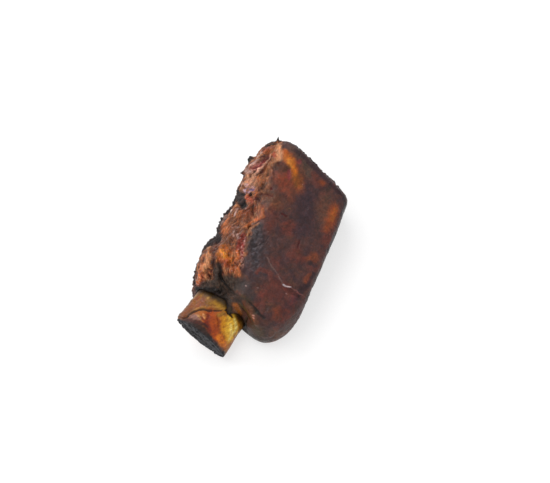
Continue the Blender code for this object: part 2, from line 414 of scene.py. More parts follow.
def meatSurface(angle, station):
    # rays from the bone's pocket fan from -X, through straight out, to +X, and end on the form
    near, far, depth = meatForm["nearX"], meatForm["farX"], meatForm["fanDepth"]
    knots = meatForm["fanKnots"]
    fan = math.pi * np.interp(station, knots, [1, 0.5, 0.5, 0, 0])
    x = np.interp(station, knots, [near + depth] * 2 + [far - depth] * 3)
    share = np.interp(station, knots, [1, 1, 1, 1, 0])
    start = roundTheBone(x, share * (boneRadius(angle) + meatForm["pocketGap"]), angle)
    way = np.stack([np.cos(fan), np.sin(fan) * np.cos(angle), np.sin(fan) * np.sin(angle)], axis=-1)
    plain = start + reachSurface(start, way)[..., None] * way
    clearOfFloor = ease(plain[..., 2], 0.0, 0.006)
    fromMouth = np.linalg.norm(plain[..., 1:] - start[..., 1:], axis=-1)
    nearEnd = np.where(station < 0.3, 1.0, 0.0)
    tuck = -meatForm["mouthTuck"] * nearEnd * np.exp(-((fromMouth / meatForm["tuckReach"]) ** 2))
    tongueLine = (plain[..., 1] - meatForm["tongueY"]) / meatForm["tongueHalf"]
    above = np.where(plain[..., 2] > boneForm["middleZ"], 1.0, 0.0)
    fade = np.exp(-(tongueLine**2) - (fromMouth / meatForm["tongueReach"]) ** 2)
    tongue = meatForm["tongueLength"] * nearEnd * above * fade
    relief = clearOfFloor * (coarseRelief(plain) + tuck + tongue)
    points = plain + relief[..., None] * way
    points[..., 2] = np.maximum(points[..., 2], 0)
    return points, fromMouth * nearEnd + (1 - nearEnd)


# Colours as they look in daylight, and what is marked on the meat: paths, half widths and lifts in mm

meatTones = {
    "gain": 0.88, "sheen": 0.012, "bark": (82, 57, 54), "barkPurple": (66, 50, 54),
    "barkRed": (104, 56, 48), "barkBrown": (100, 68, 54), "barkGrey": (84, 68, 58),
    "barkEdge": (58, 42, 45), "barkPale": (118, 94, 88), "slate": (62, 53, 55), "slatePale": (90, 81, 85),
    "slateDark": (44, 38, 40), "soot": (64, 52, 47), "sootPale": (84, 73, 66), "char": (52, 44, 46),
    "black": (24, 20, 21), "torn": (118, 70, 47), "tornDark": (78, 46, 36), "tornRed": (130, 64, 46),
    "brown": (103, 65, 49), "darkBrown": (84, 50, 38), "deepRed": (82, 26, 18), "fibre": (158, 102, 72),
    "tan": (186, 126, 88), "peach": (204, 144, 106), "orange": (178, 98, 34), "orangeDeep": (160, 78, 20),
    "orangeTan": (196, 112, 68), "gold": (232, 152, 62), "rust": (142, 72, 40), "red": (144, 62, 48),
    "redDark": (118, 44, 26), "crimson": (136, 58, 62), "mauve": (160, 98, 92), "rose": (204, 104, 84),
    "pink": (222, 166, 150), "pinkGrey": (180, 146, 142), "lilac": (184, 152, 172),
    "violet": (106, 88, 134), "silver": (224, 210, 214), "olive": (76, 64, 44), "oliveDark": (52, 44, 32),
    "amber": (152, 88, 36),
}


meatMarks = {
    # smooth browned side, from the far end to the foot
    "farShoulder": mark([(54, 17, 51), (54, 12, 49), (51, -2, 44)], 4.0, "barkGrey", 0.5),
    "greyGreen": mark([(47, 2, 46), (44, -3, 44)], 4.5, "barkGrey", 0.7, soft=0.8),
    "redUnderStripe": mark([(29, 13, 48), (27, 4, 46), (21, -2, 44)], 5.5, "rust", 0.35, soft=0.8),
    "purpleBark": mark([(35, -6, 43), (28, -11, 40), (20, -15, 39), (8, -20, 37)], 8.0, "barkPurple", 0.9,
        soft=0.8),
    "brownBark": mark([(35, -22, 37), (24, -27, 35)], 6.5, "barkBrown", 0.7, soft=0.8),
    "redNearSpot": mark([(47, -6, 42), (43, -12, 40)], 4.0, "barkRed", 0.6, soft=0.8),
    "rustSpot": mark([(46, -13, 40)], 2.2, "rust", 0.8, soft=0.7),
    "rightStripe": mark([(37, -29, 34), (31, -30, 34), (25, -32, 33), (19, -32, 32)], 3.8, "rust", 0.8,
        soft=0.95),
    "rightStripeCore": mark([(35, -30, 34), (26, -32, 33)], 1.7, "orange", 0.4, soft=0.95),
    "farDarkEdge": mark([(55, 14, 48), (54, 4, 45), (52, -6, 42), (50, -17, 39), (47, -28, 35)], 2.4,
        "barkEdge", 0.85),
    "cornerDark": mark([(48, -30, 33), (42, -34, 31), (35, -35, 31)], 1.9, "char", 0.8),
    "rightDarkLow": mark([(20, -38, 29), (14, -40, 28), (6, -41, 28)], 2.6, "char", 0.9),
    "rightDarkNear": mark([(-14, -41, 27), (-24, -41, 26), (-34, -40, 25)], 2.2, "barkEdge", 0.8),
    "crimsonDot": mark([(48, 7, 48)], 1.8, "crimson", 0.6),
    "redAboveSlate": mark([(-1, -1, 43), (-9, -1, 43)], 4.0, "barkRed", 0.6, soft=0.8),
    "slateHalo": mark([(-13, 2, 43), (-21, -3, 41), (-29, -8, 40), (-36, -12, 38)], 7.0, "slate", 0.55,
        soft=0.95, gloss=0.3),
    "slatePatch": mark([(-9, 6, 43), (-17, 2, 42), (-23, -1, 42), (-29, -4, 41), (-33, -7, 40)], 4.2,
        "slate", 0.9, soft=0.75, gloss=0.3),
    "slateSpecks": mark([(-9, 6, 43), (-17, 1, 42), (-23, -2, 42), (-29, -5, 41), (-35, -8, 39)], 6.0,
        "slatePale", 0.6, 0.35, 0.9, grit=1),
    "slateGaps": mark([(-7, 7, 43), (-17, 2, 42), (-23, -1, 42), (-29, -4, 41)], 4.6, "slateDark", 0.9,
        -0.35, 0.6, grit=-1),
    "dash": mark([(8, -3, 43), (8, -7, 42)], 0.9, "deepRed", 0.95, -0.7),
    "redPatch": mark([(-3, -22, 35), (-8, -24, 35), (-13, -22, 36)], 3.6, "barkRed", 0.6, soft=0.9),
    "redCrack": mark([(-1, -22, 36), (-6, -24, 35)], 0.9, "deepRed", 0.85, -0.6),
    "redSide": mark([(-3, -36, 31), (-7, -34, 31)], 3.2, "rust", 0.55, soft=0.8),
    "darkSide": mark([(-9, -35, 30)], 1.7, "char", 0.8),
    "rustLow": mark([(-16, -39, 28), (-22, -39, 27)], 1.8, "rust", 0.5, soft=0.8),
    "swirl": mark([(-38, -11, 38), (-34, -12, 38), (-32, -17, 36), (-36, -21, 35)], 1.6, "barkRed", 0.7,
        0.3),
    "redPanel": mark([(-47, -23, 34), (-42, -28, 33), (-36, -32, 32)], 7.5, "barkRed", 0.6, soft=0.8),
    "redSpotLow": mark([(-51, -34, 31), (-55, -36, 28)], 3.4, "rust", 0.4, soft=0.9),
    "crimsonLow": mark([(-36, -39, 29), (-40, -39, 27)], 3.0, "crimson", 0.22, soft=0.9),
    "paleLine": mark([(-25, -11, 39), (-27, -15, 38), (-29, -19, 36), (-31, -24, 34), (-34, -29, 32)], 0.55,
        "barkPale", 0.6, 0.3),
    "paleLineEnd": mark([(-32, -34, 31), (-32, -39, 28), (-31, -44, 25)], 0.45, "mauve", 0.4, 0.3),
    "lineGlint": mark([(-34, -29, 32), (-33, -31, 31), (-32, -34, 31)], 0.45, "silver", 0.85, 0.4,
        gloss=0.9),
    "lineCrimson": mark([(-35, -31, 32), (-34, -35, 30), (-34, -41, 27)], 1.3, "deepRed", 0.4, -0.3),
    # painted highlight: a small pinkish grey glossy dot beside the line's glint
    "lineGlintDot": mark([(-38, -34, 31)], 0.45, "pinkGrey", 0.5, gloss=0.9),
    "footStripes": mark([(-62, -27, 26), (-63, -32, 20)], 7.0, "tornDark", 0.45, soft=0.8),
    "footBrown": mark([(-62, -38, 20), (-60, -42, 14), (-54, -46, 12)], 4.0, "barkBrown", 0.8, soft=0.8),
    "footOlive": mark([(-63, -25, 18), (-64, -30, 14)], 4.5, "olive", 0.7, soft=0.8),
    # painted shade: dark olive under the foot
    "underFootShade": mark([(-66, -18, 8), (-66, -27, 7), (-63, -36, 5), (-58, -44, 4), (-48, -47, 3)], 5.5,
        "oliveDark", 0.9, soft=0.8),
    # painted shade: dark red along the foot's lower rim
    "footRim": mark([(-66, -30, 4), (-60, -43, 8), (-53, -48, 14), (-44, -48, 20), (-36, -46, 24)], 4.0,
        "deepRed", 0.5, soft=0.9),
    "footRimAmber": mark([(-65, -36, 4), (-60, -43, 5)], 2.2, "rust", 0.6, soft=0.9),
    # top of the torn side
    "peachLeft": mark([(52, 28, 47), (47, 25, 49), (43, 26, 48)], 3.2, "fibre", 0.9, soft=0.6),
    "stripeHalo": mark([(47, 14, 50), (41, 8, 47), (35, 1, 45), (31, -2, 44)], 5.6, "rust", 0.55, soft=0.9),
    "stripeLow": mark([(39, 5, 47), (35, 1, 45), (33, -1, 44)], 3.4, "amber", 0.7, soft=0.9, gloss=0.5),
    "orangeStripe": mark([(48, 19, 51), (46, 15, 50), (43, 10, 48), (39, 5, 47)], 3.3, "orange", 0.95, 0.3,
        0.7, 0.6),
    "stripeDeep": mark([(49, 19, 51), (48, 16, 51)], 1.7, "orangeDeep", 0.8, soft=0.8),
    "stripeBright": mark([(45, 14, 49), (42, 9, 48)], 1.9, "gold", 0.3, soft=0.9),
    "peachTop": mark([(52, 26, 49), (47, 22, 50), (42, 19, 50)], 2.3, "peach", 0.97, 0.4, 0.6, 0.6),
    "redVert": mark([(45, 25, 48), (42, 23, 49)], 1.5, "red", 0.85, soft=0.7),
    "underSpot": mark([(29, 15, 48), (31, 8, 47), (24, 5, 46)], 4.5, "tornRed", 0.6, soft=0.8),
    "topSpot": mark([(36, 20, 48), (37, 16, 49), (38, 11, 49)], 3.9, "darkBrown", 0.95, -0.5),
    "topSpotRim": mark([(39, 19, 49), (40, 15, 49)], 1.2, "deepRed", 0.4, -0.3, 0.8),
    "crimsonStreak": mark([(38, 9, 48), (33, 6, 47)], 1.3, "crimson", 0.7, -0.3, 0.7),
    "topEdgeMauve": mark([(46, 36, 41), (48, 32, 45), (49, 29, 47)], 1.4, "mauve", 0.7, 0.3),
    "rustTopLeft": mark([(46, 34, 43), (46, 30, 46)], 1.6, "rust", 0.7),
    # painted highlights: a pinkish grey patch and band and a pale pink lip on raised, glossy crests
    "highlightPatch": mark([(45, 35, 41), (41, 36, 40)], 1.7, "pinkGrey", 0.95, 0.7, gloss=0.9),
    "silverGap": mark([(43, 33, 43), (40, 34, 42)], 0.8, "deepRed", 0.8, -0.7),
    "highlightBand": mark([(40, 34, 41), (37, 36, 38), (35, 39, 33)], 1.2, "pinkGrey", 0.95, 1.0, gloss=0.9),
    "crimsonValley": mark([(42, 28, 46), (37, 30, 44), (33, 32, 42), (31, 35, 38)], 2.7, "mauve", 0.95,
        -1.4, gloss=0.8),
    "valleyCore": mark([(39, 29, 45), (35, 31, 43), (32, 34, 40)], 1.3, "crimson", 0.95, -0.5),
    "lipHighlight": mark([(43, 27, 47), (37, 27, 45), (32, 29, 43), (27, 31, 40)], 1.15, "pink", 0.95, 1.2,
        gloss=0.9),
    "lipShadow": mark([(42, 25, 48), (38, 25, 47), (31, 26, 44), (28, 27, 43)], 0.8, "deepRed", 0.8, -0.8,
        0.6),
    "tanUnder": mark([(38, 23, 48), (33, 23, 47), (27, 21, 46)], 2.9, "fibre", 0.85, soft=0.7),
    "tanGrainFar": mark([(27, 36, 36), (25, 31, 39), (22, 26, 41)], 4.2, "tan", 0.8, soft=0.8),
    "tanGlints": mark([(30, 36, 38), (28, 31, 41), (25, 25, 43)], 5.0, "pink", 0.6, 0.5, 0.8, 0.9, 1),
    "orangeTanBit": mark([(26, 27, 42), (22, 23, 43)], 1.6, "orangeTan", 0.85),
    # painted highlight: a pinkish grey row on a raised, glossy crest
    "highlightLeft": mark([(32, 40, 33), (29, 35, 37)], 1.8, "pinkGrey", 0.8, 0.5, gloss=0.8),
    "fibresNear": mark([(21, 33, 37), (20, 24, 42), (22, 17, 46)], 4.5, "fibre", 0.6, soft=0.8),
    "brownRows": mark([(14, 13, 46), (13, 8, 46), (13, 3, 45)], 6.5, "brown", 0.85, soft=0.8),
    "paleRows": mark([(9, 13, 44), (6, 8, 45), (9, 3, 45)], 5.0, "fibre", 0.35, 0.3, 0.8, 0.6, 1),
    "tanSpecks": mark([(27, 36, 36), (25, 31, 39), (22, 26, 41)], 4.0, "deepRed", 0.6, -0.3, 0.8, grit=-1),
    # painted highlights: pinkish grey and lilac rows on raised strands, with a violet painted reflection
    # between them
    "highlightRow": mark([(22, 37, 31), (19, 32, 36)], 1.5, "pinkGrey", 0.9, 0.7, gloss=0.9),
    "lilacHighlightRow": mark([(19, 31, 37), (18, 25, 40)], 1.1, "lilac", 0.9, 0.8, gloss=0.9),
    "paleGrain": mark([(22, 31, 38), (18, 25, 40)], 3.8, "pink", 0.28, soft=0.9),
    "violetReflectionRow": mark([(16, 29, 37), (16, 24, 40)], 1.0, "violet", 0.9, 0.3, gloss=0.8),
    "lilacHighlight": mark([(15, 31, 35), (14, 26, 38)], 1.3, "lilac", 0.9, 0.7, gloss=0.9),
    "greenHole": mark([(14, 25, 38), (12, 25, 38)], 1.1, "black", 0.9, -1.4),
    "paleOrange": mark([(14, 20, 42)], 1.9, "orangeTan", 0.85, 0.5),
    "roseLump": mark([(10, 25, 38), (7, 20, 40)], 2.5, "rose", 0.6, 0.7, 0.7, 0.8),
    "roseDark": mark([(10, 19, 42), (9, 17, 43)], 1.6, "deepRed", 0.95, -0.8),
    "redLine": mark([(13, 17, 44), (14, 12, 46), (15, 8, 46)], 0.8, "deepRed", 0.65, -0.6, 0.7),
    "dot": mark([(19, 12, 47)], 1.2, "deepRed", 0.95, -0.9),
    "charFar": mark([(16, 38, 28), (12, 34, 30), (8, 29, 34), (3, 25, 36)], 3.4, "char", 0.97, -0.3,
        gloss=0.2),
    "charFarNear": mark([(5, 26, 36), (2, 22, 38)], 2.4, "black", 0.85, -0.8),
    "charFarEdge": mark([(11, 36, 28), (6, 35, 26)], 2.0, "char", 0.9, 0.3, gloss=0.2),
    "blackOutline": mark([(-32, 35, 22), (-41, 31, 25), (-48, 28, 26), (-54, 27, 23), (-57, 26, 19)], 1.5,
        "char", 0.9, 0.4, gloss=0.2),
    # torn side towards the bone
    "orangeMiddle": mark([(3, 9, 45), (2, 15, 42), (1, 20, 38), (-1, 22, 36)], 2.6, "rust", 0.7, soft=0.8),
    "orangeBrown": mark([(-2, 22, 36), (-4, 16, 39)], 4.4, "rust", 0.6, soft=0.7),
    "middleShade": mark([(9, 15, 43), (3, 15, 42), (-4, 16, 39), (-10, 18, 37), (-16, 20, 34),
        (-22, 17, 35), (-29, 22, 33), (-33, 27, 29)], 8.5, "darkBrown", 0.42, soft=0.95),
    # painted highlights: silver and pinkish grey strands on raised, glossy crests
    "highlightFar": mark([(4, 31, 31), (-1, 31, 29)], 1.3, "silver", 0.85, 0.7, gloss=0.9),
    "highlightNear": mark([(1, 28, 33), (-4, 27, 32)], 1.0, "pinkGrey", 0.9, 0.6, gloss=0.9),
    "highlightEdge": mark([(-3, 35, 24), (-8, 35, 24), (-12, 34, 25)], 1.2, "pinkGrey", 0.85, 0.5, gloss=0.9),
    "orangeTanB": mark([(-8, 31, 27), (-12, 30, 26), (-15, 24, 30)], 3.8, "orangeTan", 0.55, soft=0.7),
    "bumpyDark": mark([(-14, 22, 32), (-18, 17, 35), (-20, 12, 37)], 3.6, "tornDark", 0.7, soft=0.8),
    # painted highlights: pinkish grey glossy specks on the bumps
    "bumpyHighlights": mark([(-13, 23, 32), (-18, 17, 35), (-20, 12, 37)], 3.6, "pinkGrey", 0.7, 0.4, 0.8, 0.8,
        1),
    "lobeShade": mark([(-25, 24, 30), (-28, 16, 35)], 4.0, "brown", 0.8, soft=0.7),
    "charNotch": mark([(-17, 35, 21), (-20, 32, 22), (-22, 28, 25)], 2.8, "char", 0.97, gloss=0.2),
    "charFrontLobe": mark([(-30, 36, 21), (-26, 34, 22), (-25, 30, 24), (-30, 31, 26)], 3.6, "char", 0.97,
        gloss=0.2),
    "redStrip": mark([(-18, 11, 38), (-24, 10, 38), (-29, 8, 38)], 2.4, "redDark", 0.9, gloss=0.8),
    "ridgeFar": mark([(3, 9, 44), (-2, 6, 44), (-6, 9, 43), (-9, 12, 41), (-12, 14, 38)], 1.2, "orangeTan",
        0.65, 0.9, gloss=0.8),
    "ridgeNear": mark([(-7, 6, 43), (-12, 8, 42), (-18, 8, 40)], 1.0, "tan", 0.5, 0.8, gloss=0.8),
    "curveLow": mark([(-20, 8, 40), (-27, 6, 40), (-35, 2, 40)], 1.0, "crimson", 0.8, 0.6, gloss=0.9),
    "goldBlob": mark([(-33, 18, 37), (-38, 15, 38), (-40, 10, 38)], 4.9, "orange", 0.85, 0.9, 0.7, 0.7),
    "goldRed": mark([(-41, 13, 38), (-43, 8, 38)], 2.6, "red", 0.6, soft=0.8),
    "goldCore": mark([(-36, 17, 38), (-39, 14, 38)], 2.1, "gold", 0.65, 0.2, 0.9, 0.8),
    "orangeStripB": mark([(-31, 8, 38), (-35, 5, 39), (-41, 3, 38), (-44, 3, 38)], 2.4, "rust", 0.95, 0.7,
        gloss=0.8),
    "stripBright": mark([(-31, 8, 38), (-35, 5, 39), (-38, 4, 39)], 1.3, "orangeTan", 0.9, 0.3, gloss=0.8),
    "stripEnd": mark([(-42, 1, 38), (-45, -2, 38), (-47, -4, 37)], 2.3, "orangeTan", 0.85, 0.4, gloss=0.8),
    "stripTail": mark([(-45, -5, 38), (-47, -9, 37)], 2.4, "brown", 0.7, soft=0.7),
    "lobeEdgeDark": mark([(-29, 28, 28), (-35, 25, 32)], 3.0, "darkBrown", 0.5, soft=0.8),
    "tanStrip": mark([(-34, 27, 29), (-43, 23, 35), (-48, 21, 35), (-53, 20, 34)], 2.4, "tan", 0.95, 0.9,
        0.5, 0.5),
    "tanStripLow": mark([(-48, 24, 33), (-53, 23, 31)], 2.0, "orangeTan", 0.7, soft=0.8),
    "orangeLow": mark([(-54, 21, 32), (-58, 20, 29), (-60, 21, 24)], 2.7, "rust", 0.95, 0.3, gloss=0.8),
    "orangeLowCore": mark([(-55, 22, 31), (-59, 21, 27)], 1.6, "orangeTan", 0.75, gloss=0.8),
    "pinkByMouth": mark([(-58, 17, 31), (-60, 17, 28)], 1.7, "mauve", 0.7, 0.3),
    "betweenStrips": mark([(-33, 23, 34), (-37, 22, 35), (-43, 18, 38), (-49, 15, 37)], 1.6, "tornDark",
        0.85, -0.6),
    # scorched hollow over the bone, the mouth and the fold, with painted shade along the mouth and in the
    # gap beside the bone
    "sootFar": mark([(-46, 13, 38), (-50, 12, 37), (-52, 9, 35)], 3.2, "soot", 0.97, gloss=0.1),
    "sootValley": mark([(-60, 15, 29), (-56, 9, 33), (-53, 3, 35), (-52, -3, 36), (-58, 3, 31)], 5.2,
        "soot", 0.98, -0.5, gloss=0.1),
    "sootSpecks": mark([(-59, 14, 30), (-54, 6, 34), (-52, -5, 36), (-52, -12, 36)], 5.5, "sootPale", 0.6,
        0.2, 0.7, grit=1),
    "sootRight": mark([(-50, -5, 37), (-51, -11, 36), (-54, -16, 34)], 4.2, "soot", 0.8, soft=0.7,
        gloss=0.2),
    "greySoot": mark([(-47, -7, 38), (-50, -13, 36), (-52, -19, 34)], 3.6, "slate", 0.6, soft=0.8,
        gloss=0.3),
    "crease": mark([(-50, 10, 36), (-52, 7, 35), (-54, 3, 34), (-56, -2, 33), (-57, -5, 33)], 0.8, "black",
        0.8, -0.8),
    # painted shade: a black band along the mouth, where the meat meets the bone
    "mouthEdgeShade": mark([(-60, 22, 21), (-61, 13, 28), (-60, 8, 30), (-59, 3, 30), (-61, -2, 29),
        (-63, -6, 24), (-66, -7, 21)], 2.0, "black", 0.85, gloss=0.1),
    "tongueOlive": mark([(-63, -6, 24), (-65, -7, 21)], 1.4, "olive", 0.7),
    "glintA": mark([(-49, -10, 37)], 0.42, "pinkGrey", 0.6, 0.2, gloss=0.9),
    "glintB": mark([(-46, -17, 36)], 0.42, "pinkGrey", 0.55, 0.2, gloss=0.9),
    "foldGrey": mark([(-56, -11, 33), (-58, -17, 32), (-60, -23, 30)], 2.8, "olive", 0.6, soft=0.7),
    "sootMouth": mark([(-57, 1, 32), (-57, -4, 33), (-58, -9, 33), (-58, -14, 33)], 2.6, "soot", 0.97, -0.3,
        gloss=0.1),
    "sootTongue": mark([(-60, 3, 30), (-60, -3, 30), (-61, -7, 28)], 2.8, "soot", 0.97, gloss=0.1),
    "sootFold": mark([(-58, -9, 33), (-59, -13, 32)], 2.4, "soot", 0.8, soft=0.7, gloss=0.1),
    "foldOlive": mark([(-60, -12, 31), (-61, -17, 30), (-63, -22, 27)], 1.5, "olive", 0.9, 0.5, gloss=0.6),
    "foldCrease": mark([(-57, -17, 33), (-58, -22, 32), (-59, -26, 30), (-60, -30, 29)], 1.1, "black", 0.8,
        -1.0),
    "foldRidge": mark([(-58, -14, 32), (-60, -20, 30), (-62, -24, 27), (-64, -27, 25)], 2.2, "brown", 0.85,
        1.0, gloss=0.6),
    "foldRidgeTan": mark([(-61, -22, 29), (-63, -25, 26)], 1.2, "fibre", 0.35, 0.2, 0.8, 0.8),
    "foldRidgeDark": mark([(-62, -18, 27), (-64, -22, 23)], 1.4, "tornDark", 0.8, -0.6),
    "foldGlint": mark([(-61, -23, 28), (-62, -24, 27)], 0.42, "pink", 0.8, 0.3, 0.7, 0.9),
    "byTongue": mark([(-61, -9, 29), (-63, -12, 26), (-64, -12, 20)], 2.6, "amber", 0.85, soft=0.7,
        gloss=0.8),
    # painted shade: dark olive down the gap between the meat's fold and the bone
    "boneGapShade": mark([(-64, -19, 25), (-65, -18, 15), (-67, -16, 7)], 1.7, "oliveDark", 0.8, -1.4),
    # char that stands out at the left edge, and single crumbs of it
    "topWorn": mark([(56, 38, 40), (58, 34, 44), (58, 30, 47)], 4.2, "char", 0.95, -2.2, gloss=0.2),
    "charTop": mark([(49, 38, 39), (51, 34, 43), (53, 30, 46)], 1.6, "char", 0.97, 0.3, gloss=0.2),
    "knob": mark([(42, 41, 34), (40, 41, 33)], 2.4, "black", 1.0, 2.7, gloss=0.4),
    "edgeKnobA": mark([(50, -17, 38)], 1.3, "barkEdge", 0.9, 0.9, gloss=0.3),
    "edgeKnobB": mark([(49, -23, 36), (48, -27, 35)], 1.2, "barkEdge", 0.9, 0.7, gloss=0.3),
}

# single spikes of char along the edge: place, half width and height
charSpikes = [
    ((57, 29, 47), 1.0, 4.6),
    ((29, 43, 31), 0.9, 2.4),
    ((-43, 31, 24), 0.9, 1.8),
    ((8, 37, 27), 0.9, 1.6),
    ((-6, 37, 22), 0.8, 1.4),
    ((-14, 37, 22), 0.9, 1.3),
]
for number, (place, half, height) in enumerate(charSpikes):
    meatMarks["spike%d" % number] = mark([place], half, "black", 1.0, height, gloss=0.2)

glintRow = [(-20, 8, 40), (-23, 7, 40), (-27, 6, 40), (-31, 4, 40), (-35, 2, 40), (-39, -1, 39)]


def strandPlaces(points, along, outward):
    # the points in a frame that runs along the strands: along, across and outwards
    across = np.cross(outward, along)
    across = across / np.linalg.norm(across)
    return np.stack([points @ along, points @ across, points @ np.cross(along, across)], axis=-1)


def meatGrid():
    # even columns round the bone and even rows along it, finer where the meat is seen than underneath
    turns = np.linspace(0, 2 * math.pi, 1801)
    section, _ = meatSurface(turns, np.full_like(turns, 0.5))
    seen = np.where(section[:, 2] > 0.004, 1.0, 0.3)
    angles = 2 * math.pi * evenSteps(section, meatForm["columns"] + 1, seen)[:-1]
    dense = np.linspace(0, 1, 1201)
    lines = [meatSurface(np.full_like(dense, math.radians(turn)), dense)[0] for turn in (60, 110, 160, 330)]
    stations = np.mean([evenSteps(line, meatForm["rows"]) for line in lines], axis=0)
    return np.meshgrid(angles, stations)


def meatSkin(points, thick, thin, torn, nearFace, steep, edges):
    # colours before the marks: browned crust, darker where it is steep, torn fibres, and the burnt edges;
    # the darkening of steep crust and of the lowest 10 mm is painted shade
    blotch = layeredNoise(points, (19, 15, 15), 91, 2)
    patch = layeredNoise(points, (9, 8, 8), 93, 2)
    flecks = layeredNoise(points, (3.4, 3.4, 3.4), 95, 2)
    specks = bumpNoise(points, (1.5, 1.5, 1.5), 97)
    bark = coated(points, meatTones, "bark", [
        ("barkRed", 0.8, blotch, 0.0, 0.5),
        ("barkPurple", 0.6, -patch - 0.3 * flecks, 0.0, 0.5),
        ("barkBrown", 0.4, flecks + 0.6 * patch, 0.2, 0.8),
        ("soot", 0.7, patch + 0.4 * flecks, 0.45, 0.85),
    ])
    fibres = coated(points, meatTones, "torn", [
        ("tornRed", 0.75, blotch + 0.3 * flecks, 0.0, 0.5),
        ("orangeTan", 0.45, -blotch + 0.5 * flecks, 0.2, 0.7),
        ("fibre", 0.75, thick + 0.8 * thin + 0.5 * patch, 0.35, 1.0),
        ("tan", 0.6, thick + 0.9 * thin, 0.5, 1.1),
        ("tornDark", 0.9, -thick - 0.6 * thin - 0.4 * patch, 0.0, 0.7),
        ("deepRed", 0.7, -thin - 0.4 * specks, 0.45, 0.8),
    ])
    skin = blend(bark, fibres, ease(torn + 0.35 * patch + 0.3 * flecks - 0.9 * nearFace, 0.25, 0.75))
    skin = skin * (1 + specks * (0.10 + 0.16 * torn))[..., None]
    leftEdge, farEdge, rightEdge = edges
    burnt = np.maximum(leftEdge, farEdge) * ease(flecks + 0.7 * patch, -0.7, -0.1)
    burnt = np.maximum(burnt, rightEdge * ease(flecks + 0.6 * patch, -0.2, 0.4))
    skin = blend(skin, paintTone(meatTones, "char"), 0.95 * burnt)
    # painted shade: crust that is steep or faces down is darkened, most in blue
    skin = skin * (1 - ((1 - torn) * steep)[..., None] * np.array(meatForm["steepPaintedShade"]))
    # painted shade: the lowest 10 mm of the meat darkens towards the soot colour
    skin = blend(skin, paintTone(meatTones, "soot"), 0.7 * ease(-points[..., 2], -0.010, -0.002))
    gloss = (0.30 + 0.18 * ease(blotch, -0.3, 0.4) + 0.20 * torn) * (1 - 0.7 * burnt)
    return skin, gloss


def tornStrands(points, warped):
    # strands slant down the torn side, but run with the bone along the crest and beside the bare end
    slanting = strandPlaces(warped, facing(152, -26), facing(114, 52))
    upright = strandPlaces(warped, facing(209, 4), facing(114, 52))
    turned = np.maximum(ease(-points[..., 0], 0.012, 0.028), 1 - ease(pastRidge(points), 0.005, 0.012))
    strands = slanting + turned[..., None] * (upright - slanting)
    thick = (1 - turned) * ridges(slanting, (12, 3.6, 5), 61) + turned * ridges(upright, (11, 3.4, 5), 63)
    thin = (1 - turned) * ridges(slanting, (6, 1.6, 2.6), 67) + turned * ridges(upright, (6, 1.6, 2.6), 69)
    return strands, thick, thin


def burntEdges(points):
    # shares of a burnt fringe: where the torn side turns down on the left, and along the far and right edges
    cuts = meatCuts(points)
    leftEdge = ease(cuts["left"], -0.0036, -0.0010) * ease(points[..., 2], 0.012, 0.020)
    leftEdge *= 1 - 0.75 * ease(points[..., 0], 0.018, 0.026) * ease(-points[..., 0], -0.050, -0.044)
    farEdge = ease(np.maximum(cuts["farCorner"], cuts["far"]), -0.0028, -0.0006)
    farEdge *= 0.25 + 0.75 * ease(np.maximum(cuts["smoothTop"], cuts["tornTop"]), -0.009, -0.003)
    return leftEdge, farEdge, 0.8 * ease(cuts["right"], -0.0030, -0.0008)


